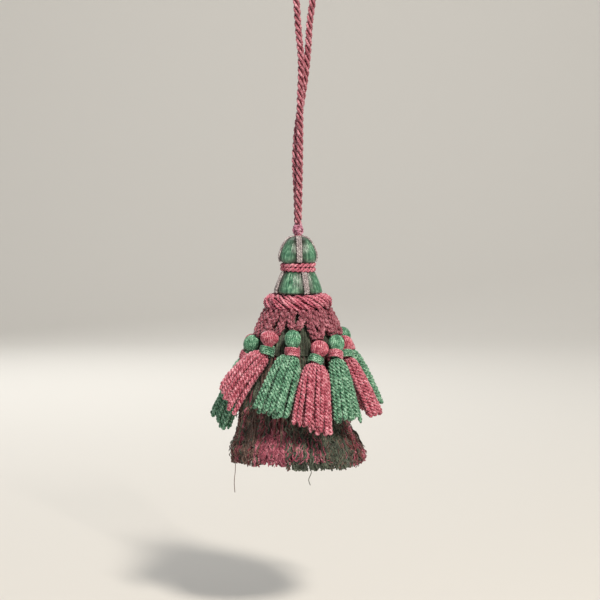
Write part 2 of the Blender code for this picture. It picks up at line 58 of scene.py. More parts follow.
stageSettings = {
    "lookAt": (-0.0027, 0, -0.1557),
    "distance": 0.75, "elevation": 4.5, "lens": 102,
    # y and z of the sweep: near edge, start of its bend, the bend's centre, top of the wall
    "sweep": [(-3.0, -0.30), (1.2, -0.30), (1.2, 0.50), (2.0, 3.0)],
    "sweepHalfWidth": 4, "sweepStep": 6,  # metres, degrees
    "sweepColour": "#d2d0cb", "sweepRoughness": 0.9,
    "worldColour": "#f3f1ee", "worldStrength": 0.21,
    # name, place, where it points, size, watts, colour
    "lights": [
        ("key", (0.52, -1.14, 1.02), (0, 0, -0.156), 0.26, 32.5, "#fff6ea"),
        ("fill", (-0.85, -0.80, 0.05), (0, 0, -0.156), 0.70, 1.3, "#eef2ff"),
        ("back", (-0.35, 0.95, 0.35), (0, 0, -0.156), 0.60, 4.0, "#ffffff"),
        ("backdrop", (0.0, 0.70, 1.70), (0, 2.2, 0.1), 1.20, 17.0, "#ffffff"),
    ],
}


def linear(hexText):
    channels = [int(hexText[i : i + 2], 16) / 255 for i in (1, 3, 5)]
    return [c / 12.92 if c <= 0.04045 else ((c + 0.055) / 1.055) ** 2.4 for c in channels] + [1]


def addNode(tree, kind, settings, inputs):
    node = tree.nodes.new(kind)
    for key, value in settings.items():
        setattr(node, key, value)
    for key, value in inputs.items():
        if isinstance(value, bpy.types.NodeSocket):
            tree.links.new(value, node.inputs[key])
        else:
            node.inputs[key].default_value = value
    return node


def linkNew(name, data):
    obj = bpy.data.objects.new(name, data)
    bpy.context.scene.collection.objects.link(obj)
    return obj


def addCamera(s):
    tilt = math.radians(s["elevation"])
    camera = linkNew("camera", bpy.data.cameras.new("camera"))
    camera.data.lens = s["lens"]
    camera.location = Vector(s["lookAt"]) + Vector((0, -math.cos(tilt), math.sin(tilt))) * s["distance"]
    camera.rotation_euler = (math.radians(90) - tilt, 0, 0)
    bpy.context.scene.camera = camera


def addLights(s):
    for name, place, target, size, watts, colour in s["lights"]:
        lamp = bpy.data.lights.new(name, "AREA")
        lamp.size = size
        lamp.energy = watts
        lamp.color = linear(colour)[:3]
        lampObject = linkNew(name, lamp)
        lampObject.location = place
        lampObject.rotation_euler = (Vector(target) - Vector(place)).to_track_quat("-Z", "Y").to_euler()
    world = bpy.data.worlds.new("studio")
    bpy.context.scene.world = world
    world.use_nodes = True
    background = world.node_tree.nodes["Background"]
    background.inputs["Color"].default_value = linear(s["worldColour"])
    background.inputs["Strength"].default_value = s["worldStrength"]
    bpy.context.scene.view_settings.view_transform = "Standard"


def addSweep(s):
    near, bendStart, bendCentre, top = s["sweep"]
    reach = bendCentre[1] - bendStart[1]
    profile = [near]
    for degrees in range(0, 91, s["sweepStep"]):
        a = math.radians(degrees)
        profile.append((bendCentre[0] + reach * math.sin(a), bendCentre[1] - reach * math.cos(a)))
    profile.append(top)
    bm = bmesh.new()
    half = s["sweepHalfWidth"]
    rows = [[bm.verts.new((x, y, z)) for x in (-half, half)] for y, z in profile]
    for (a, b), (c, d) in zip(rows, rows[1:]):
        bm.faces.new((a, b, d, c)).smooth = True
    floorMesh = bpy.data.meshes.new("floor")
    bm.to_mesh(floorMesh)
    bm.free()
    paint = bpy.data.materials.new("pale matt board")  # no gloss, so that only the tassel shines
    paint.use_nodes = True
    shader = paint.node_tree.nodes["Principled BSDF"]
    shader.inputs["Base Color"].default_value = linear(s["sweepColour"])
    shader.inputs["Roughness"].default_value = s["sweepRoughness"]
    floorMesh.materials.append(paint)
    linkNew("floor", floorMesh)


addCamera(stageSettings)
addLights(stageSettings)
addSweep(stageSettings)
print("stage set")

# materials

# Viscose is rayon. Fibres laid along the twist give a soft sheen, and hairs on the surface break the
# highlight. The fibres drawn on a tube are coarser than real ones, so that they show.
# dark, middle and light dye, roughness, sheen, length of a patch of dye, turns of fibre, relief
yarns = {
    # hanging cord: faded by handling, a dull lustre on each ply
    "viscose cord, dusty rose": (("#5e1f2a", "#aa5a69", "#e8adb8"), 0.46, 0.35, 2.0, 90, 0.5),
    # waist cord and ruff: clean rose, deep red between the strands, where the ruff's wine core gives painted
    # shade
    "viscose cord, rose": (("#741f2e", "#c25e75", "#f4b2bd"), 0.50, 0.35, 3.0, 90, 0.5),
    # knot: cooler and smoother than the cord, so it glints
    "viscose cord, mauve": (("#7a3550", "#c27a96", "#f2cbd8"), 0.42, 0.35, 1.6, 90, 0.5),
    # hangers: duller and darker, as yarn in the ruff's shade: the rose cord with painted shade
    "viscose cord, rose in painted shade": (("#511722", "#8f4352", "#cf8b98"), 0.52, 0.35, 2.4, 30, 0.5),
    # small skirts and neck bindings: bright dots where the plies turn to the light
    "viscose yarn, rose": (("#7c2233", "#b9566a", "#f0b2bd"), 0.48, 0.35, 2.2, 60, 0.5),
    "viscose yarn, green": (("#234c37", "#528e6d", "#b2dabf"), 0.48, 0.35, 2.2, 60, 0.5),
    # balls: the smoothest winding, with the clearest highlight
    "silk-wound ball, rose": (("#7a2434", "#bf5c6e", "#f2b3bb"), 0.30, 0.05, 1.6, 20, 0.35),
    "silk-wound ball, green": (("#234f39", "#528d6d", "#a9dcbc"), 0.30, 0.05, 1.6, 20, 0.35),
    # ribs: dry pale thread, greyed by dust
    "floss, pale": (("#6c6164", "#a5999a", "#e2dcda"), 0.60, 0.30, 1.2, 24, 0.5),
    # main skirt: matt hairy wool, four dyes mixed
    "wool yarn, wine": (("#3a1317", "#702f36", "#9a4f58"), 0.85, 0.30, 3.0, 40, 0.6),
    "wool yarn, deep rose": (("#561a28", "#9a475a", "#d48b9a"), 0.80, 0.45, 4.0, 40, 0.6),
    "wool yarn, forest": (("#1e241b", "#424a3c", "#707a67"), 0.80, 0.45, 4.0, 40, 0.6),
    "wool yarn, bark": (("#2b1d18", "#5e473f", "#8f7468"), 0.85, 0.45, 4.0, 40, 0.6),
}

fibre = {
    "ior": 1.53, "specular": 0.45, "sheenRoughness": 0.4,  # cellulose and wool
    "tuft": 0.55,  # tufts of fibre this long speckle the yarn
    "tuftShare": 0.45, "patchShare": 0.55,  # of the change in colour
    "patchDetail": 3, "patchRoughness": 0.65,
    "lines": 3,  # drawn round a yarn
    "lineShare": 0.35, "reliefDepth": 0.08,
    "stops": (0.36, 0.5, 0.66),  # where the dark, middle and light dyes lie
}

# satin-laid viscose: threads side by side catch a long highlight, brighter along the thread
satin = {
    "colours": ("#24503a", "#4a8366", "#9bcdab"), "roughness": 0.32, "sheen": 0.30,
    "streak": 0.9, "streakSquash": 0.12, "streakShare": 0.6, "streakDetail": 3, "streakRoughness": 0.6,
    "patch": 1.6, "patchShare": 0.4,
    # colour of the painted shade beside the ribs, at the waist and at the top
    "paintedShade": "#232b20",
    "relief": 0.6, "reliefDepth": 0.12,
}


def calculate(tree, operation, *values):
    return addNode(tree, "ShaderNodeMath", {"operation": operation}, dict(enumerate(values))).outputs[0]


def noise(tree, vector, size, detail=2, roughness=0.5):
    inputs = {"Vector": vector, "Scale": 1 / (size * mm), "Detail": detail, "Roughness": roughness}
    return addNode(tree, "ShaderNodeTexNoise", {}, inputs).outputs["Fac"]


def startMaterial(name, roughness, sheen):
    material = bpy.data.materials.new(name)
    material.use_nodes = True
    shader = material.node_tree.nodes["Principled BSDF"]
    shader.inputs["Roughness"].default_value = roughness
    shader.inputs["Sheen Weight"].default_value = sheen
    shader.inputs["Sheen Roughness"].default_value = fibre["sheenRoughness"]
    shader.inputs["IOR"].default_value = fibre["ior"]
    shader.inputs["Specular IOR Level"].default_value = fibre["specular"]
    return material, material.node_tree, shader


def threeColours(tree, factor, colours):
    ramp = addNode(tree, "ShaderNodeValToRGB", {}, {"Fac": factor})
    elements = ramp.color_ramp.elements
    elements.new(0.5)
    for element, stop, colour in zip(elements, fibre["stops"], colours):
        element.position = stop
        element.color = linear(colour)
    return ramp.outputs["Color"]


def giveRelief(tree, shader, height, strength, depth):
    inputs = {"Strength": strength, "Distance": depth * mm, "Height": height}
    bump = addNode(tree, "ShaderNodeBump", {}, inputs)
    tree.links.new(bump.outputs["Normal"], shader.inputs["Normal"])


def yarnMaterial(name, colours, roughness, sheen, patch, fibreTurns, relief):
    material, tree, shader = startMaterial(name, roughness, sheen)
    place = addNode(tree, "ShaderNodeTexCoord", {}, {})
    # dye takes unevenly in patches a few millimetres long, and tufts of fibre catch the light
    patches = noise(tree, place.outputs["Object"], patch, fibre["patchDetail"], fibre["patchRoughness"])
    tufts = noise(tree, place.outputs["Object"], fibre["tuft"])
    speckle = calculate(tree, "MULTIPLY", tufts, fibre["tuftShare"])
    tone = calculate(tree, "MULTIPLY_ADD", patches, fibre["patchShare"], speckle)
    tree.links.new(threeColours(tree, tone, colours), shader.inputs["Base Color"])
    # fibres wind round the yarn, drawn on the tube's own UV
    split = addNode(tree, "ShaderNodeSeparateXYZ", {}, {0: place.outputs["UV"]})
    around = calculate(tree, "MULTIPLY", split.outputs["Y"], 2 * math.pi * fibre["lines"])
    phase = calculate(tree, "MULTIPLY_ADD", split.outputs["X"], 2 * math.pi * fibreTurns, around)
    height = calculate(tree, "MULTIPLY_ADD", calculate(tree, "SINE", phase), fibre["lineShare"], tufts)
    giveRelief(tree, shader, height, relief, fibre["reliefDepth"])
    return material


def satinMaterial(s):
    material, tree, shader = startMaterial("satin-laid viscose, green", s["roughness"], s["sheen"])
    place = addNode(tree, "ShaderNodeTexCoord", {}, {})
    squash = {"Vector": place.outputs["Object"], "Scale": (1, 1, s["streakSquash"])}
    stretched = addNode(tree, "ShaderNodeMapping", {}, squash).outputs[0]
    streaks = noise(tree, stretched, s["streak"], s["streakDetail"], s["streakRoughness"])
    patches = noise(tree, place.outputs["Object"], s["patch"])
    streaked = calculate(tree, "MULTIPLY", streaks, s["streakShare"])
    tone = calculate(tree, "MULTIPLY_ADD", patches, s["patchShare"], streaked)
    thread = threeColours(tree, tone, s["colours"])
    # painted shade: darker beside the ribs, at the waist and at the top, where shade falls on the cover
    paintedShade = addNode(tree, "ShaderNodeAttribute", {"attribute_name": "paintedShade"}, {})
    mixed = {0: paintedShade.outputs["Fac"], 6: thread, 7: linear(s["paintedShade"])}
    shadedThread = addNode(tree, "ShaderNodeMix", {"data_type": "RGBA"}, mixed)
    tree.links.new(shadedThread.outputs[2], shader.inputs["Base Color"])
    giveRelief(tree, shader, streaks, s["relief"], s["reliefDepth"])
    return material


yarnOf = {name: yarnMaterial(name, *look) for name, look in yarns.items()}
print("yarns dyed:", len(yarnOf))

# lines, ropes and tubes

curvePoints = 17  # between two given points, before the line is spaced evenly
strandTurn = 2.1  # radians between the starts of neighbouring strands' own yarns
tubeWeld = 1e-6  # metres
spunWeld = 0.0005
sharpAngle = 70


def outward(azimuth):
    a = math.radians(azimuth)
    return Vector((math.sin(a), -math.cos(a), 0))


def sideways(azimuth):
    a = math.radians(azimuth)
    return Vector((math.cos(a), math.sin(a), 0))


def at(place):
    azimuth, radius, drop = place
    return outward(azimuth) * radius - upright * drop


def ringLine(radius, count, height=0):
    return [ruffCentre + upright * height + outward(360 * i / count) * radius for i in range(count)]


# a smooth line through the points, as points step apart
def smoothLine(points, step):
    fine = [points[0]]
    last = len(points) - 1
    for i in range(last):
        before, start, end, after = (points[min(max(i + k, 0), last)] for k in (-1, 0, 1, 2))
        fine += geometry.interpolate_bezier(
            start, start + (end - before) / 6, end - (after - start) / 6, end, curvePoints
        )[1:]
    along = [0.0]
    for a, b in zip(fine, fine[1:]):
        along.append(along[-1] + (b - a).length)
    count = max(2, round(along[-1] / step))
    line, piece = [], 0
    for k in range(count + 1):
        target = along[-1] * k / count
        while piece < len(fine) - 2 and along[piece + 1] < target:
            piece += 1
        share = (target - along[piece]) / (along[piece + 1] - along[piece])
        line.append(fine[piece].lerp(fine[piece + 1], min(share, 1)))
    return line


def lineLength(line, closed=False):
    ends = zip(line, line[1:] + line[:1]) if closed else zip(line, line[1:])
    return sum((b - a).length for a, b in ends)


# count lines winding round the given one. across is a direction the line never runs along,
# hand is 1 for Z-laid and -1 for S-laid, narrow scales the offset at each point
def wind(line, count, offset, pitch, hand, across, start=0.0, closed=False, narrow=None):
    wound = [[] for _ in range(count)]
    travelled = 0.0
    for i, point in enumerate(line):
        before = line[i - 1] if i or closed else point
        after = line[(i + 1) % len(line)] if i < len(line) - 1 or closed else point
        along = (after - before).normalized()
        normal = (across - along * across.dot(along)).normalized()
        side = along.cross(normal)
        if i:
            travelled += (point - line[i - 1]).length
        reach = offset * (narrow[i] if narrow else 1)
        for k in range(count):
            a = start + 2 * math.pi * (k / count + hand * travelled / pitch)
            wound[k].append(point + (normal * math.cos(a) + side * math.sin(a)) * reach)
    return wound


# radius is a number or one for each point, dye is the index of its material
def tube(line, radius, dye=0, closed=False):
    radii = radius if isinstance(radius, list) else [radius] * len(line)
    return {"line": line, "radii": radii, "dye": dye, "closed": closed}


def makeTubes(name, tubes, materials, roundness=1):
    curve = bpy.data.curves.new(name, "CURVE")
    curve.dimensions = "3D"
    curve.bevel_depth = mm
    curve.bevel_resolution = roundness
    curve.use_fill_caps = True
    for material in materials:
        curve.materials.append(material)
    for each in tubes:
        spline = curve.splines.new("POLY")
        spline.points.add(len(each["line"]) - 1)
        spline.points.foreach_set("co", [c for p in each["line"] for c in (*(p * mm), 1)])
        spline.points.foreach_set("radius", each["radii"])
        spline.use_cyclic_u = each["closed"]
        spline.material_index = each["dye"]
    guide = linkNew(name + "Guide", curve)
    depsgraph = bpy.context.evaluated_depsgraph_get()
    mesh = bpy.data.meshes.new_from_object(guide.evaluated_get(depsgraph))
    bpy.data.objects.remove(guide)
    bm = bmesh.new()
    bm.from_mesh(mesh)
    bmesh.ops.remove_doubles(bm, verts=bm.verts, dist=tubeWeld)
    bm.to_mesh(mesh)
    bm.free()
    mesh.name = name
    mesh.set_sharp_from_angle(angle=math.radians(sharpAngle))
    return linkNew(name, mesh)


# twists holds a level for each twisting: (strands, offset, pitch, hand), the thickest first
def ropeTubes(line, rope, across, start=0.0, closed=False):
    strands = [line]
    for level, (count, offset, pitch, hand) in enumerate(rope["twists"]):
        wound = []
        for k, strand in enumerate(strands):
            length = lineLength(strand, closed)
            evenPitch = length / max(1, round(length / pitch)) if closed else pitch
            turned = start if level == 0 else strandTurn * k
            wound += wind(strand, count, offset, evenPitch, hand, across, turned, closed)
        strands = wound
    return [tube(strand, rope["yarnRadius"], closed=closed) for strand in strands]


def spunSolid(profile, columns):
    bm = bmesh.new()
    verts = [bm.verts.new((r, 0, z)) for r, z in profile]
    edges = [bm.edges.new(pair) for pair in zip(verts, verts[1:])]
    full = 2 * math.pi
    bmesh.ops.spin(bm, geom=verts + edges, axis=upright, angle=full, steps=columns, use_merge=True)
    bmesh.ops.remove_doubles(bm, verts=bm.verts, dist=spunWeld)
    bmesh.ops.recalc_face_normals(bm, faces=bm.faces)
    return bm


def placeMesh(bm, name, materials):
    bmesh.ops.translate(bm, vec=ruffCentre, verts=bm.verts)
    bmesh.ops.scale(bm, vec=(mm, mm, mm), verts=bm.verts)
    mesh = bpy.data.meshes.new(name)
    bm.to_mesh(mesh)
    bm.free()
    for material in materials:
        mesh.materials.append(material)
    mesh.shade_smooth()
    return linkNew(name, mesh)


def finishPiece(piece, slot, *nodes):
    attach(piece, "root")
    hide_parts(*nodes)
    print(piece.name, len(piece.data.polygons), "faces")


# hanging cord

cord = {
    "loopRadius": 6.2, "radius": 1.5,
    # z, middle x, half gap between the legs, turn of the pair
    "legs": [
        (-12.0, -0.2, 5.4, 0), (-22.0, -0.6, 3.9, 0), (-34.8, -1.05, 2.55, 0), (-42.0, -0.95, 2.05, 8),
        (-50.2, -0.9, 1.69, 38), (-59.0, -1.4, 1.66, 60), (-68.0, -2.3, 1.66, 78), (-81.0, -3.3, 1.66, 112),
        (-94.0, -3.8, 1.66, 126), (-103.0, -3.7, 1.66, 116), (-112.0, -3.6, 1.66, 105),
        (-121.6, -3.6, 1.66, 97),
    ],
    "bendStep": 30,  # degrees
    "step": 0.5, "pathEvery": 16,
    "rope": {"twists": [(3, 1.00, 9.9, -1), (3, 0.33, 3.2, 1)], "yarnRadius": 0.34},
    # a dark wine core inside the plies: painted shade in the grooves between them
    "coreRadius": 0.52,
}


def buildCord(c):
    centre = Vector((0, 0, c["radius"] - c["loopRadius"]))
    bend = []
    for degrees in range(180, -1, -c["bendStep"]):
        a = math.radians(degrees)
        bend.append(centre + Vector((math.cos(a), 0, math.sin(a))) * c["loopRadius"])
    legs = []
    for side in (-1, 1):
        leg = []
        for z, middle, halfGap, turn in c["legs"]:
            t = math.radians(turn)
            leg.append(Vector((middle + math.cos(t) * halfGap * side, math.sin(t) * halfGap * side, z)))
        legs.append(leg)
    route = smoothLine(legs[0][::-1] + bend + legs[1], c["step"])
    tubes = ropeTubes(route, c["rope"], Vector((0, 1, 0)))
    # the wine core shows in the grooves as painted shade
    tubes.append(tube(route, c["coreRadius"], dye=1))
    piece = makeTubes("hangingCord", tubes, [yarnOf["viscose cord, dusty rose"], yarnOf["wool yarn, wine"]])
    finishPiece(piece, "rose_cord", "hanging_cord")
    print("cord length", round(lineLength(route), 1))


buildCord(cord)

# knot over the head: one length woven round a ball, over a collar

knot = {
    "height": 32.2, "ballRadius": 1.8, "tall": 1.12,
    # reach is in degrees of latitude, weave how far the cord passes over and under itself
    "leads": 3, "bights": 4, "reach": 60, "weave": 0.36, "steps": 150,
    "across": (0.31, 0.17, 1),  # the woven cord never runs along this
    "rope": {"twists": [(2, 0.42, 3.4, -1), (2, 0.20, 1.7, 1)], "yarnRadius": 0.27},
    "collar": (29.3, 1.3, 0.5), "collarPoints": 24,  # height, radius, thickness
    # height above the knot's middle, radius
    "core": [(-3.2, 1.0), (-1.6, 1.5), (-0.8, 1.75), (0, 1.8), (0.8, 1.75), (1.6, 1.5), (2.4, 1.0)],
}


def buildKnot(k):
    centre = ruffCentre + upright * k["height"]
    ratio = k["bights"] / k["leads"]
    line = []
    for i in range(k["steps"]):
        t = 2 * math.pi * k["leads"] * i / k["steps"]
        latitude = math.radians(k["reach"]) * math.cos(ratio * t)
        reach = k["ballRadius"] + k["weave"] * math.sin(2 * ratio * t)
        flat = math.cos(latitude) * reach
        high = k["tall"] * reach * math.sin(latitude)
        line.append(centre + Vector((flat * math.sin(t), -flat * math.cos(t), high)))
    tubes = ropeTubes(line, k["rope"], Vector(k["across"]).normalized(), closed=True)
    height, radius, thick = k["collar"]
    ring = ringLine(radius, k["collarPoints"], height)
    # the collar takes the darker cord: painted shadow under the knot
    tubes.append(tube(ring, thick, dye=1, closed=True))
    core = [centre + upright * h for h, _ in k["core"]]
    # the core shows between the woven cord in the darker cord: painted shade
    tubes.append(tube(core, [r for _, r in k["core"]], dye=1))
    materials = [yarnOf["viscose cord, mauve"], yarnOf["viscose cord, rose in painted shade"]]
    finishPiece(makeTubes("topKnot", tubes, materials), "rose_cord", "knot")


buildKnot(knot)

# head: turned mould wrapped in yarn laid from top to bottom, with pale ribs

ribs = {
    "azimuths": {"dome": 5, "bell": 22},
    "rows": {  # radius, height down each rib
        "dome": [(2.2, 29.1), (4.3, 28.5), (5.9, 27.1), (7.4, 24.5), (8.4, 21.8), (8.65, 19.8), (8.3, 18.0)],
        "bell": [(7.3, 13.5), (8.05, 12.4), (9.15, 10.2), (10.2, 7.4), (10.85, 5.3), (10.7, 4.3)],
    },
    "lift": -0.35, "spacing": 0.78, "step": 0.33,
    "startTurn": 2,  # radians from one thread's start to the next
    "rope": {"twists": [(2, 0.22, 2.3, -1)], "yarnRadius": 0.29},
}

head = {
    # radius, height down the outside
    "profile": [
        (0.0, 29.0), (2.6, 28.8), (4.2, 28.2), (5.8, 26.9), (7.3, 24.4), (8.35, 21.8), (8.6, 19.8),
        (8.3, 18.3), (7.2, 17.4), (6.0, 16.6), (5.8, 15.5), (6.0, 14.4), (7.1, 13.5), (7.9, 12.4),
        (9.0, 10.2), (10.1, 7.4), (10.75, 5.3), (10.7, 4.5), (9.8, 4.0), (7.0, 3.9), (0.0, 3.9),
    ],
    "rowStep": 0.6,
    "threads": 92, "columnsPerThread": 4, "threadDepth": 0.13, "threadLift": 0.06,
    "plainRadius": 1.5,  # no thread shows this near the axis
    "waistHeight": 15.5,
    "valley": 1.15, "valleyHalfWidth": 15, "valleyFade": 3,  # the cover draws in under each rib
    # painted shade darkens it beside the ribs, near the waist and from a height up to the top
    "paintedShadeHalfWidth": 27, "waistPaintedShade": 4.5, "topPaintedShade": (24.0, 5), "endPaintedShade": 0.7,
}


# 1 under a rib, near 0 in the middle of a gore
def ribNearness(azimuth, height, halfWidth, h):
    nearest = ribs["azimuths"]["dome" if height > h["waistHeight"] else "bell"]
    off = (azimuth - nearest + 45) % 90 - 45
    return math.exp(-((off / halfWidth) ** 2))


def buildHead(h):
    rows = [Vector((r, 0, z)) for r, z in h["profile"]]
    outside = [(p.x, p.z) for p in smoothLine(rows[1:-1], h["rowStep"])]
    bm = spunSolid([(0, rows[0].z)] + outside + [(0, rows[-1].z)], h["threads"] * h["columnsPerThread"])
    # each vertex keeps its share of painted shade: full near the axis, more beside the ribs, near the waist
    # and towards the top
    paintedShade = bm.verts.layers.float.new("paintedShade")
    lift = [eitherSide(h["threadLift"]) for _ in range(h["threads"])]
    topShadeFrom, topShadeOver = h["topPaintedShade"]
    for vert in bm.verts:
        flat, height = vert.co.xy.length, vert.co.z
        if flat < h["plainRadius"]:
            vert[paintedShade] = 1
            continue
        turn = (math.atan2(vert.co.y, vert.co.x) % (2 * math.pi)) / (2 * math.pi) * h["threads"]
        azimuth = math.degrees(math.atan2(vert.co.x, -vert.co.y))
        fromWaist = abs(height - h["waistHeight"])
        fade = min(1, fromWaist / h["valleyFade"])
        draw = h["valley"] * fade * ribNearness(azimuth, height, h["valleyHalfWidth"], h)
        rise = abs(math.sin(math.pi * turn)) * h["threadDepth"]
        rise += lift[int(turn) % h["threads"]] - h["threadDepth"] - draw
        ends = max(0, 1 - fromWaist / h["waistPaintedShade"], (height - topShadeFrom) / topShadeOver)
        vert[paintedShade] = min(1, ribNearness(azimuth, height, h["paintedShadeHalfWidth"], h) + h["endPaintedShade"] * ends)
        vert.co.xy *= (flat + rise) / flat
    finishPiece(placeMesh(bm, "headCover", [satinMaterial(satin)]), "green_satin_yarn", "head")


def buildRibs(b):
    for part, azimuth in b["azimuths"].items():
        for i in range(4):
            out, side = outward(azimuth + 90 * i), sideways(azimuth + 90 * i)
            tubes = []
            for hand in (-1, 0, 1):
                route = [
                    ruffCentre + out * (r + b["lift"]) + upright * z + side * b["spacing"] * hand
                    for r, z in b["rows"][part]
                ]
                line = smoothLine(route, b["step"])
                tubes += ropeTubes(line, b["rope"], side, start=hand * b["startTurn"])
            piece = makeTubes(f"{part}Rib{i + 1}", tubes, [yarnOf["floss, pale"]])
            finishPiece(piece, "pale_yarn", f"{part}_rib_{i + 1}")


buildHead(head)
buildRibs(ribs)

# waist cord and rope ruff

waist = {
    "rounds": [(6.95, 16.5, 1.5), (6.95, 14.6, -1.5)],  # radius, height, tilt
    "steps": 150,
    "rope": {"twists": [(2, 0.52, 4.2, -1), (2, 0.25, 2.2, 1)], "yarnRadius": 0.34},
}


def buildWaist(w):
    tubes = []
    for radius, height, tilt in w["rounds"]:
        ring = []
        for i in range(w["steps"]):
            azimuth = 360 * i / w["steps"]
            rise = math.sin(math.radians(azimuth)) * radius * math.sin(math.radians(tilt))
            ring.append(ruffCentre + outward(azimuth) * radius + upright * (height + rise))
        tubes += ropeTubes(ring, w["rope"], upright, closed=True)
    finishPiece(makeTubes("waistCord", tubes, [yarnOf["viscose cord, rose"]]), "rose_cord", "waist_binding")


buildWaist(waist)

ruff = {
    "ringRadius": 11.45, "steps": 144,
    "rope": {"twists": [(5, 2.62, 23.5, 1), (3, 0.74, 15.0, 1), (2, 0.32, 2.9, -1)], "yarnRadius": 0.36},
    # a dark wine core inside the strands: painted shade in the gaps between them
    "coreRadius": 1.7,
}


def buildRuff(r):
    ring = ringLine(r["ringRadius"], r["steps"])
    tubes = ropeTubes(ring, r["rope"], upright, closed=True)
    # the wine core shows between the strands as painted shade
    tubes.append(tube(ring, r["coreRadius"], dye=1, closed=True))
    materials = [yarnOf["viscose cord, rose"], yarnOf["wool yarn, wine"]]
    finishPiece(makeTubes("ropeRuff", tubes, materials), "rose_cord", "ruff")


buildRuff(ruff)

# small tassels

# topAzimuth is where the hanger leaves the ruff, ball, neck and foot are places, facing is the azimuth
# that the flat side of the skirt faces, halfWidth is at its foot
Tassel = namedtuple("Tassel", "colour topAzimuth ball neck foot facing halfWidth")
smallTassels = [
    Tassel("green", 0, (-6, 21.1, 13.8), (-6, 23.0, 20.0), (-20, 33.5, 44.8), -14, 9.1),
    Tassel("rose", 30, (27, 21.1, 18.0), (19, 23.3, 23.6), (9.5, 34.9, 51.9), 9, 9.2),
    Tassel("green", 60, (52, 21.2, 16.0), (44, 23.4, 22.0), (38.8, 33.9, 48.6), 40, 7.6),
    Tassel("rose", 90, (78, 20.4, 16.7), (69, 22.6, 23.0), (69.2, 36.2, 48.2), 75, 7.6),
    Tassel("green", 120, (108, 20.7, 14.8), (103, 22.6, 20.9), (99, 34.9, 45.5), 99, 8.2),
    Tassel("rose", 150, (136, 21.1, 16.5), (131, 23.2, 22.6), (127, 34.6, 50.0), 127, 8.4),
    Tassel("green", 180, (167, 21.1, 14.2), (162, 23.1, 20.4), (157, 33.8, 47.0), 157, 8.4),
    Tassel("rose", 210, (198, 21.1, 17.2), (192, 23.3, 23.2), (187, 34.8, 51.0), 187, 8.6),
    Tassel("green", 240, (227, 21.1, 14.6), (222, 23.1, 20.8), (217, 33.9, 47.5), 217, 8.4),
    Tassel("rose", 270, (256, 20.4, 17.5), (251, 22.9, 23.5), (246, 34.5, 50.3), 246, 8.3),
    Tassel("green", 300, (285, 20.9, 17.4), (282, 22.9, 23.5), (280, 35.2, 51.3), 312, 7.8),
    Tassel("rose", 330, (325, 21.1, 13.4), (325, 23.2, 19.8), (304, 36.6, 40.8), 338, 7.9),
]

hanger = {
    "topRing": 13.4, "topDrop": 3.2, "radius": 1.35,
    # radius of the bend, and height of its underside over the ball's centre
    "bend": (2.0, 3.9), "openBend": {12: (3.0, 0.2)},
    # how far each loop opens: at the top, at its waist
    "spreads": [
        (1.9, 2.6), (2.4, 3.1), (2.0, 2.9), (1.8, 2.7), (2.0, 3.0), (2.2, 2.7),
        (1.9, 3.0), (2.0, 2.8), (2.1, 2.7), (1.9, 2.9), (1.8, 2.0), (1.5, 2.3),
    ],
    "waistAt": 0.45,  # of the way down
    "rope": {"twists": [(3, 1.04, 7.8, -1), (2, 0.46, 3.0, 1)], "yarnRadius": 0.50},
    "step": 0.42,
    # in these a third length of cord runs down between the legs, by these shares of the way
    "withTail": (2,), "tail": (0, 0.3, 0.6), "tailTurn": 1.0,
}


def buildHanger(number, tassel, h):
    centre = ballCentre(tassel)
    top = at((tassel.topAzimuth, h["topRing"], h["topDrop"]))
    side = sideways((tassel.topAzimuth + tassel.ball[0]) / 2)
    up = (top - centre).normalized()
    bendRadius, seat = h["openBend"].get(number, h["bend"])
    bend = centre + up * (seat + h["radius"])
    elbow = bend + up * bendRadius
    topSpread, waistSpread = h["spreads"][number - 1]
    legs = []
    for hand in (side, -side):
        legs.append([
            top + hand * topSpread,
            top.lerp(elbow, h["waistAt"]) + hand * waistSpread,
            elbow + hand * bendRadius,
            elbow + (hand - up) * bendRadius * math.sqrt(0.5),
        ])
    line = [ruffCentre + p for p in smoothLine(legs[0] + [bend] + legs[1][::-1], h["step"])]
    across = side.cross(up).normalized()
    tubes = ropeTubes(line, h["rope"], across)
    if number in h["withTail"]:
        tail = smoothLine([ruffCentre + top.lerp(bend, share) for share in h["tail"]], h["step"])
        tubes += ropeTubes(tail, h["rope"], across, start=h["tailTurn"])
    # hangers take the darker cord: painted shade under the ruff
    piece = makeTubes(f"hanger{number:02}", tubes, [yarnOf["viscose cord, rose in painted shade"]])
    finishPiece(piece, "rose_cord", f"hanger_{number:02}")


ball = {
    "toNeck": 6.1, "sink": 0.15, "radius": 3.3, "yarns": 24, "yarnRadius": 0.42, "turn": 50,
    "polars": (8, 22, 36, 50, 64, 78, 92, 106, 120, 134),
    "intoNeck": [(1.9, 2.6), (1.8, 1.9), (1.8, 1.0)],  # radius, height
    "thinnest": 0.35,  # yarns crowd and thin towards the poles
    "coreShare": 0.85, "coreFoot": (2.0, -1.0),
    "squash": {"green": (0.97, 1.20), "rose": (1.08, 1.08)},  # across, upright
    "pressed": {12: (1.12, 0.90)},
}


def ballCentre(tassel):
    return at(tassel.neck) + (at(tassel.ball) - at(tassel.neck)).normalized() * ball["toNeck"]


# the neck's own axes: z runs up to the ball, x is across the tassel
def stemFrame(tassel):
    origin = at(tassel.neck)
    z = (ballCentre(tassel) - origin).normalized()
    side = sideways(tassel.neck[0])
    x = (side - z * side.dot(z)).normalized()
    return Matrix.Translation(ruffCentre + origin) @ Matrix((x, z.cross(x), z)).transposed().to_4x4()


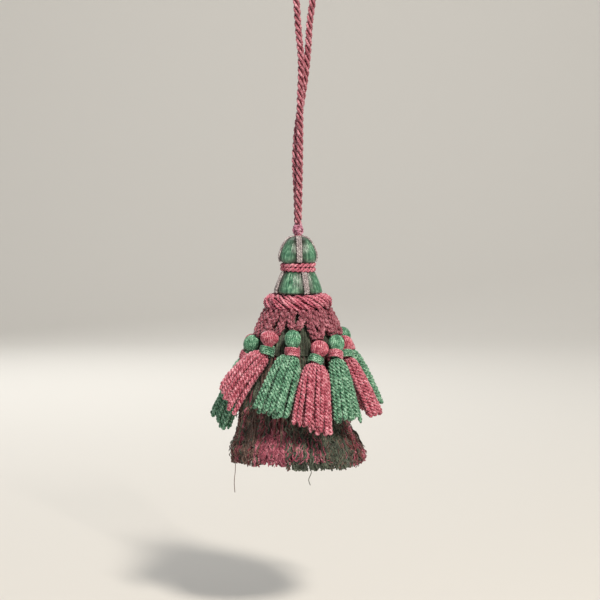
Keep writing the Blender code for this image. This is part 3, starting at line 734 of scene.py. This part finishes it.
def ballTubes(number, tassel, b):
    stem = stemFrame(tassel)
    wide, tall = b["pressed"].get(number, b["squash"][tassel.colour])
    outline = []
    for polar in b["polars"]:
        a = math.radians(polar)
        height = b["toNeck"] - b["sink"] + b["radius"] * math.cos(a) * tall
        outline.append((b["radius"] * math.sin(a) * wide, height))
    outline += b["intoNeck"]
    crowd = [max(b["thinnest"], flat / (b["radius"] * wide)) for flat, _ in outline]
    tubes = []
    for k in range(b["yarns"]):
        line = []
        for i, (flat, height) in enumerate(outline):
            turn = math.radians(360 * k / b["yarns"] + b["turn"] * i / len(outline))
            line.append(stem @ Vector((flat * math.cos(turn), flat * math.sin(turn), height)))
        tubes.append(tube(line, [b["yarnRadius"] * c for c in crowd], dye=1))
    core = [(b["coreShare"] * flat, height) for flat, height in outline] + [b["coreFoot"]]
    line = [stem @ Vector((0, 0, height)) for _, height in core]
    tubes.append(tube(line, [flat for flat, _ in core], dye=1))
    return tubes


# Bullion: a hard-twisted cord folded on itself, so each strand shows two plies and ends in a loop
bullion = {
    # two oval rings of strands: strands for each mm of the skirt's half width, size of the ring
    "rings": [(1.62, 1.0), (0.82, 0.42)],
    "strandRadius": 1.12, "plyOffset": 0.57, "plyRadius": 0.56, "pitch": (2.8, 3.8),
    "step": 0.46, "ovalSteps": 240, "leastWidth": 0.7, "leastDepth": 0.5,
    "rootNarrow": 0.60, "growLength": 8,  # strands are thinner at the neck
    "uneven": 0.09, "unevenLength": (3.5, 7.0),
    "lengthSpread": 1.3, "innerShorter": 1.5, "loopRoom": 0.6,
    # strands stray from their ring: more and more, at each row, and towards the middle.
    # growth is how fast the last two reach their full size on the way down
    "wander": 0.5, "sway": 0.35, "swayGrowth": 2, "inset": 1.1, "insetGrowth": 3,
    # for some tassels: how much shorter the skirt is, how much lower its right end hangs,
    # and how far its middle hangs to the right
    "shorter": {2: 0.9}, "slant": {2: 2.3, 11: 2.4, 12: 2.6}, "bow": {11: 0.9, 12: -1.3},
    # drop below the neck, half width where the foot's is rowsFor, half depth, swell outwards
    "rows": [
        (1.3, 2.2, 2.1, 0), (2.4, 4.2, 3.2, 0), (4.2, 5.6, 3.9, 0.1),
        (8.5, 6.7, 4.1, 0.3), (17, 7.8, 4.0, 0.4),
    ],
    "rowsFor": 9, "footDepth": 3.8,
    # the loop at a strand's end: share of the plies' spread, drop beside, drop at the bottom
    "loop": (0.75, 0.40, 0.62),
}


# angles at which count strands stand evenly round an oval
def ovalAngles(halfWidth, halfDepth, count, offset, fine):
    along = [0.0]
    for i in range(fine):
        a, b = 2 * math.pi * i / fine, 2 * math.pi * (i + 1) / fine
        step = Vector((halfWidth * (math.cos(b) - math.cos(a)), halfDepth * (math.sin(b) - math.sin(a))))
        along.append(along[-1] + step.length)
    found = []
    for k in range(count):
        target = along[-1] * ((k + offset) % count) / count
        found.append(2 * math.pi * next(j for j in range(fine + 1) if along[j] >= target) / fine)
    return found


# one cord along the line and back, with its loop at the foot
def strandTube(line, down, inward, b):
    wave, phase = scatter.uniform(*b["unevenLength"]), scatter.uniform(*anyPhase)
    root = b["rootNarrow"]
    grow = []
    for i in range(len(line)):
        along = i * b["step"]
        swell = 1 + b["uneven"] * math.sin(2 * math.pi * along / wave + phase)
        grow.append(min(1.0, root + (1 - root) * along / b["growLength"]) * swell)
    pitch = scatter.uniform(*b["pitch"])
    one, other = wind(line, 2, b["plyOffset"], pitch, -1, inward, scatter.uniform(*anyPhase), narrow=grow)
    end, spread = line[-1], one[-1] - line[-1]
    width, beside, bottom = b["loop"]
    loop = [end + spread * width + down * beside, end + down * bottom, end - spread * width + down * beside]
    radii = [b["plyRadius"] * g for g in grow + [1] * len(loop) + grow[::-1]]
    return tube(one + loop + other[::-1], radii)


def bullionTubes(number, tassel, b):
    top, foot = at(tassel.neck), at(tassel.foot)
    length = (foot - top).length
    down = (foot - top).normalized()
    across = sideways(tassel.facing)
    across = (across - down * across.dot(down)).normalized()
    inward = across.cross(down)
    wide = tassel.halfWidth / b["rowsFor"]
    rows = [(drop / length, w * wide, d, swell) for drop, w, d, swell in b["rows"]]
    rows.append((1, tassel.halfWidth, b["footDepth"], 0))
    shorter, slant, bow = (b[key].get(number, 0) for key in ("shorter", "slant", "bow"))
    thick = b["strandRadius"]
    tubes = []
    for density, scale in b["rings"]:
        count = round(density * tassel.halfWidth)
        offset = scatter.random()
        angles = []
        for _, w, d, _ in rows:
            roomAcross, roomDeep = max(w - thick, b["leastWidth"]), max(d - thick, b["leastDepth"])
            angles.append(ovalAngles(roomAcross * scale, roomDeep * scale, count, offset, b["ovalSteps"]))
        for k in range(count):
            reach = eitherSide(b["lengthSpread"]) - (1 - scale) * b["innerShorter"] - shorter
            drift = Vector((eitherSide(1), eitherSide(1))) * b["wander"]
            inset = scatter.uniform(0, b["inset"])
            route = []
            for i, (share, w, d, swell) in enumerate(rows):
                a = angles[i][k]
                sway = eitherSide(1) * b["sway"] * min(1, b["swayGrowth"] * share)
                x = max(w - thick, b["leastWidth"]) * scale * math.cos(a) + drift.x * share + sway
                sunk = inset * min(1, b["insetGrowth"] * share)
                y = max(d - thick - sunk, b["leastDepth"]) * scale * math.sin(a) + drift.y * share
                bowHere = 4 * bow * share * (1 - share)
                point = top.lerp(foot, share) - inward * swell + across * (x + bowHere) + inward * y
                if share == 1:
                    reach += slant * math.cos(a)
                    point += down * (reach - thick * b["loopRoom"])
                route.append(ruffCentre + point)
            tubes.append(strandTube(smoothLine(route, b["step"]), down, inward, b))
    return tubes


neck = {
    "radius": 2.78, "swell": 0.22, "top": 2.15, "bottom": -1.8, "turns": 4.4, "stepsPerTurn": 38,
    "plies": 2, "plyOffset": 0.27, "pitch": 1.9, "plyRadius": 0.33,
}


def neckTubes(tassel, n):
    stem = stemFrame(tassel)
    steps = round(n["turns"] * n["stepsPerTurn"])
    line = []
    for i in range(steps + 1):
        turn = 2 * math.pi * n["turns"] * i / steps
        height = n["top"] + (n["bottom"] - n["top"]) * i / steps
        reach = n["radius"] + n["swell"] * math.sin(math.pi * i / steps)
        line.append(stem @ Vector((reach * math.cos(turn), reach * math.sin(turn), height)))
    axis = stem.to_3x3() @ upright
    plies = wind(line, n["plies"], n["plyOffset"], n["pitch"], -1, axis)
    return [tube(ply, n["plyRadius"]) for ply in plies]


def buildSmallTassel(number, tassel):
    other = "rose" if tassel.colour == "green" else "green"
    tubes = ballTubes(number, tassel, ball) + bullionTubes(number, tassel, bullion)
    materials = [yarnOf[f"viscose yarn, {tassel.colour}"], yarnOf[f"silk-wound ball, {tassel.colour}"]]
    skirt = makeTubes(f"smallTassel{number:02}", tubes, materials)
    finishPiece(skirt, f"{tassel.colour}_yarn", f"small_tassel_{number:02}")
    materials = [yarnOf[f"viscose yarn, {other}"]]
    binding = makeTubes(f"neckBinding{number:02}", neckTubes(tassel, neck), materials, roundness=0)
    finishPiece(binding, f"{other}_yarn", f"neck_{number:02}")


for number, tassel in enumerate(smallTassels, 1):
    buildHanger(number, tassel, hanger)
    buildSmallTassel(number, tassel)

# main skirt of cut yarn

dyes = ["wool yarn, deep rose", "wool yarn, forest", "wool yarn, bark", "wool yarn, wine"]
rose, forest, bark, wine = range(len(dyes))

mainSkirt = {
    # drop, radius down the outside
    "outside": [
        (4.9, 9.0), (6.2, 11.0), (9.0, 12.6), (12.0, 14.8), (16.0, 16.8), (22.0, 17.9), (28.0, 19.0),
        (44.0, 22.5), (55.5, 25.6), (64.0, 29.6), (69.8, 29.4),
    ],
    # jitter is a share of the space between yarns, depth is how far under the outside they lie
    "headYarns": {
        "count": 92, "jitter": 0.3, "radius": 0.62, "drops": (4.9, 6.2, 9.0, 12.0, 16.0, 22.0), "lift": 0.2,
        "step": 1.6, "dyes": (forest, forest, wine),
    },
    "bodyYarns": {
        "count": 160, "jitter": 0.4, "radius": 0.55, "depth": (0.2, 1.4), "top": 15.0, "aboveHem": 8,
        "step": 3.2, "insteadOfRose": (forest, bark, wine),
    },
    "hemYarns": {
        "count": 700, "jitter": 0.5, "radius": 0.40, "depth": 1.0, "topSpread": 2.5, "step": 1.12,
        "cover": 1.6, "coverLength": 3,  # they start under the yarns above
        "behind": 0.9,  # green ones lie this far behind short rose ones
    },
    # area is the share of the skirt's section that lies within them
    "innerYarns": {"count": 420, "radius": 0.40, "area": (0.18, 0.98), "foot": (-2.0, 0.8), "step": 1.7},
    "hemTop": 44.0, "innerTop": 58.0,
    # fibres that have come loose: where they start, how far they stand off, curl and lean
    "fuzz": {
        "count": 300, "radius": 0.15, "top": (46, 66), "length": (3.0, 7.0), "belowHem": 0.6,
        "stand": (0.3, 1.0), "lean": (-7, 7), "curl": (0.4, 0.9), "waves": (9, 7), "steps": 6,
    },
    "hemSpread": 0.55,
    "hemWave": 1.1, "hemWaves": [(3, 40), (5, 200)],  # number round the hem, phase in degrees
    "crimp": 0.5, "crimpSpread": (0.5, 1.5), "crimpLength": (2.2, 4.2), "crimpSideways": 0.83,
    "lean": 3.0, "leastSteps": 3,
    "lockSwell": 0.9, "swellLength": 14, "swellShape": (0.6, 0.8),
    # locks by azimuth, with shares of rose, forest, bark and wine yarn; longer is how far the lock
    # hangs below the rest, roseTop where its rose yarns come out and roseShort how early they end
    # above roseTop only darker yarn shows: partly the skirt's own dyes, partly painted shade under the small
    # tassels
    "locks": [
        {"from": -90, "to": -62, "longer": 0.2, "shares": (10, 14, 60, 16)},
        {"from": -62, "to": -36, "longer": 0.1, "shares": (8, 22, 60, 10)},
        {"from": -36, "to": -8, "longer": -2.2, "shares": (92, 2, 4, 2), "roseTop": 54.5},
        {"from": -8, "to": 26, "shares": (40, 48, 9, 3), "roseTop": 55.5, "roseShort": 3.4},
        {"from": 26, "to": 58, "shares": (6, 62, 28, 4), "roseShort": 1.0},
        {"from": 58, "to": 92, "longer": 0.5, "shares": (32, 6, 24, 38)},
        {"from": 92, "to": 128, "longer": -0.5, "shares": (6, 78, 12, 4)},
        {"from": 128, "to": 160, "longer": -1.0, "shares": (80, 4, 8, 8), "roseTop": 55.0},
        {"from": 160, "to": 196, "shares": (8, 10, 72, 10)},
        {"from": 196, "to": 232, "longer": -0.8, "shares": (80, 4, 8, 8), "roseTop": 55.0},
        {"from": 232, "to": 270, "longer": -0.4, "shares": (6, 78, 12, 4)},
    ],
    "around": (-90, 270),
    # on the right the skirt hangs closer, then kicks out at the hem: drop and distance
    "rightSide": [(25.0, 0.0), (44.0, -2.0), (55.5, -2.7), (63.0, -1.8), (66.5, 0.3), (72.0, 0.3)],
    # on the left it stands out under the small tassels
    "leftSide": [(32.0, 0.0), (40.0, 2.2), (47.0, 2.4), (54.0, 1.2), (60.0, 0.0), (72.0, 0.0)],
    "sideFall": (3, 2),  # how fast each fades towards front and back, as a power
    # threads pulled from the hem: place of the start, drop of the end, sideways drift, dye
    "strayThreads": [
        ((-62, 31.0, 68.0), 82.0, 0.6, bark),
        ((10, 30.5, 69.0), 76.0, -0.4, forest),
        ((62, 26.5, 56.0), 60.5, 6.5, bark),
    ],
    "stray": {"radius": 0.16, "steps": 8, "stand": 0.6, "wave": 0.5, "turn": 7},
}

# dark packed yarn inside, so that no light shows through
skirtCore = {"inset": 2.5, "foot": 66.5, "leastRadius": 3, "columns": 48}


# azimuths run from -90 to 270
def wrapped(azimuth):
    return (azimuth + 90) % 360 - 90


def lockAt(azimuth, m):
    return next(lock for lock in m["locks"] if lock["from"] <= wrapped(azimuth) < lock["to"])


def lockDye(azimuth, m):
    return scatter.choices(range(len(dyes)), lockAt(azimuth, m)["shares"])[0]


# between the listed drops the value changes evenly
def valueAt(drop, rows):
    for (d1, v1), (d2, v2) in zip(rows, rows[1:]):
        if drop <= d2:
            return v1 + (v2 - v1) * max(0, drop - d1) / (d2 - d1)
    return rows[-1][1]


# locks stand out in the middle and draw in where they part
def lockSwell(azimuth, drop, m):
    share = min(1, max(0, (drop - m["hemTop"]) / m["swellLength"]))
    lock = lockAt(azimuth, m)
    span = (wrapped(azimuth) - lock["from"]) / (lock["to"] - lock["from"])
    rightFall, leftFall = m["sideFall"]
    right = valueAt(drop, m["rightSide"]) * max(0, math.sin(math.radians(azimuth))) ** rightFall
    left = valueAt(drop, m["leftSide"]) * max(0, -math.sin(math.radians(azimuth))) ** leftFall
    power, level = m["swellShape"]
    return m["lockSwell"] * share * (math.sin(math.pi * span) ** power - level) + right + left


# radius of the skirt's outside there, less the depths of a yarn and of what covers it
def skirtRadius(azimuth, drop, m, depth=0, covered=0):
    return valueAt(drop, m["outside"]) - depth - covered + lockSwell(azimuth, drop, m)


def hemDrop(azimuth, dye, m):
    wave = sum(math.sin(math.radians(count * azimuth + phase)) for count, phase in m["hemWaves"])
    lock = lockAt(azimuth, m)
    shorter = lock.get("roseShort", 0) if dye == rose else 0
    return m["outside"][-1][0] + m["hemWave"] * wave / len(m["hemWaves"]) + lock.get("longer", 0) - shorter


def crimped(azimuth, radiusAt, topDrop, footDrop, step, m):
    phase, turn = scatter.uniform(*anyPhase), scatter.uniform(*anyPhase)
    reach, wave = m["crimp"] * scatter.uniform(*m["crimpSpread"]), scatter.uniform(*m["crimpLength"])
    lean = scatter.gauss(0, m["lean"])
    count = max(m["leastSteps"], round((footDrop - topDrop) / step))
    line = []
    for i in range(count + 1):
        drop = topDrop + (footDrop - topDrop) * i / count
        bend = 2 * math.pi * (drop - topDrop) / wave
        r = radiusAt(drop) + reach * math.sin(bend + phase)
        a = azimuth + lean * i / count
        side = sideways(a) * reach * math.sin(m["crimpSideways"] * bend + turn)
        line.append(ruffCentre + at((a, r, drop)) + side)
    return line


def standAt(k, yarns):
    return 360 * (k + eitherSide(yarns["jitter"])) / yarns["count"]


def headTubes(m):
    h = m["headYarns"]
    tubes = []
    for k in range(h["count"]):
        azimuth = standAt(k, h)
        line = [ruffCentre + at((azimuth, valueAt(d, m["outside"]) + h["lift"], d)) for d in h["drops"]]
        tubes.append(tube(smoothLine(line, h["step"]), h["radius"], scatter.choice(h["dyes"])))
    return tubes


def bodyTubes(m):
    b = m["bodyYarns"]
    tubes = []
    for k in range(b["count"]):
        azimuth = standAt(k, b)
        dye, depth = lockDye(azimuth, m), scatter.uniform(*b["depth"])
        # no rose yarn above roseTop: partly the lock's own dyes, partly painted shade under the small
        # tassels
        if dye == rose and "roseTop" in lockAt(azimuth, m):
            dye = scatter.choice(b["insteadOfRose"])

        def radiusAt(drop):
            return skirtRadius(azimuth, drop, m, depth)

        line = crimped(azimuth, radiusAt, b["top"], hemDrop(azimuth, dye, m) - b["aboveHem"], b["step"], m)
        tubes.append(tube(line, b["radius"], dye))
    return tubes


def hemTubes(m):
    h = m["hemYarns"]
    tubes = []
    for k in range(h["count"]):
        azimuth = standAt(k, h)
        dye, depth = lockDye(azimuth, m), abs(scatter.gauss(0, h["depth"]))
        foot = hemDrop(azimuth, dye, m) + eitherSide(m["hemSpread"])
        lock = lockAt(azimuth, m)
        # rose yarns start at roseTop, so darker yarn shows above them: partly painted shade under the small
        # tassels
        start = lock.get("roseTop", m["hemTop"]) if dye == rose else m["hemTop"]
        start += eitherSide(h["topSpread"])

        def radiusAt(drop):
            covered = h["cover"] * max(0, 1 - (drop - start) / h["coverLength"])
            return skirtRadius(azimuth, drop, m, depth, covered)

        line = crimped(azimuth, radiusAt, start, foot, h["step"], m)
        tubes.append(tube(line, h["radius"], dye))
        # where rose yarns are short, green ones show below them
        if dye == rose and "roseShort" in lock:
            foot = hemDrop(azimuth, forest, m) + eitherSide(m["hemSpread"])

            def radiusBehind(drop):
                return skirtRadius(azimuth, drop, m, depth, h["behind"])

            line = crimped(azimuth, radiusBehind, m["innerTop"], foot, h["step"], m)
            tubes.append(tube(line, h["radius"], forest))
    return tubes


# cut ends fill the underside
def innerTubes(m):
    n = m["innerYarns"]
    tubes = []
    for _ in range(n["count"]):
        azimuth = scatter.uniform(*m["around"])
        dye, share = lockDye(azimuth, m), math.sqrt(scatter.uniform(*n["area"]))
        if dye == rose and "roseShort" in lockAt(azimuth, m):
            dye = forest
        foot = hemDrop(azimuth, dye, m) + scatter.uniform(*n["foot"])

        def radiusAt(drop):
            return valueAt(drop, m["outside"]) * share

        line = crimped(azimuth, radiusAt, m["innerTop"], foot, n["step"], m)
        tubes.append(tube(line, n["radius"], dye))
    return tubes


def fuzzTubes(m):
    f = m["fuzz"]
    outWaves, sideWaves = f["waves"]
    tubes = []
    for _ in range(f["count"]):
        azimuth, top = scatter.uniform(*m["around"]), scatter.uniform(*f["top"])
        dye = lockDye(azimuth, m)
        foot = min(top + scatter.uniform(*f["length"]), hemDrop(azimuth, dye, m) + f["belowHem"])
        stand, lean = scatter.uniform(*f["stand"]), scatter.uniform(*f["lean"])
        curl, phase = scatter.uniform(*f["curl"]), scatter.uniform(*anyPhase)
        line = []
        for i in range(f["steps"] + 1):
            share = i / f["steps"]
            drop = top + (foot - top) * share
            radius = skirtRadius(azimuth, drop, m) + stand * share + curl * math.sin(outWaves * share)
            side = sideways(azimuth) * curl * math.sin(sideWaves * share + phase)
            line.append(ruffCentre + at((azimuth + lean * share, radius, drop)) + side)
        tubes.append(tube(line, f["radius"], dye))
    return tubes


def strayTubes(m):
    s = m["stray"]
    tubes = []
    for (azimuth, radius, drop), foot, drift, dye in m["strayThreads"]:
        line = []
        for i in range(s["steps"] + 1):
            share = i / s["steps"]
            wave = math.sin(share * s["turn"]) * s["wave"]
            p = at((azimuth, radius + s["stand"] * share, drop + (foot - drop) * share))
            line.append(ruffCentre + p + sideways(azimuth) * (drift * share + wave))
        tubes.append(tube(line, s["radius"], dye))
    return tubes


def buildMainSkirt(m):
    tubes = headTubes(m) + bodyTubes(m) + hemTubes(m) + innerTubes(m) + fuzzTubes(m) + strayTubes(m)
    piece = makeTubes("mainSkirt", tubes, [yarnOf[d] for d in dyes], roundness=0)
    finishPiece(piece, "mixed_fringe", "main_skirt")


def buildSkirtCore(c, outside):
    profile = [(0, -outside[0][0])]
    profile += [(max(r - c["inset"], c["leastRadius"]), -d) for d, r in outside if d < c["foot"]]
    profile += [(valueAt(c["foot"], outside) - c["inset"], -c["foot"]), (0, -c["foot"])]
    piece = placeMesh(spunSolid(profile, c["columns"]), "skirtCore", [yarnOf["wool yarn, bark"]])
    finishPiece(piece, "mixed_fringe", "main_skirt")


buildMainSkirt(mainSkirt)
buildSkirtCore(skirtCore, mainSkirt["outside"])
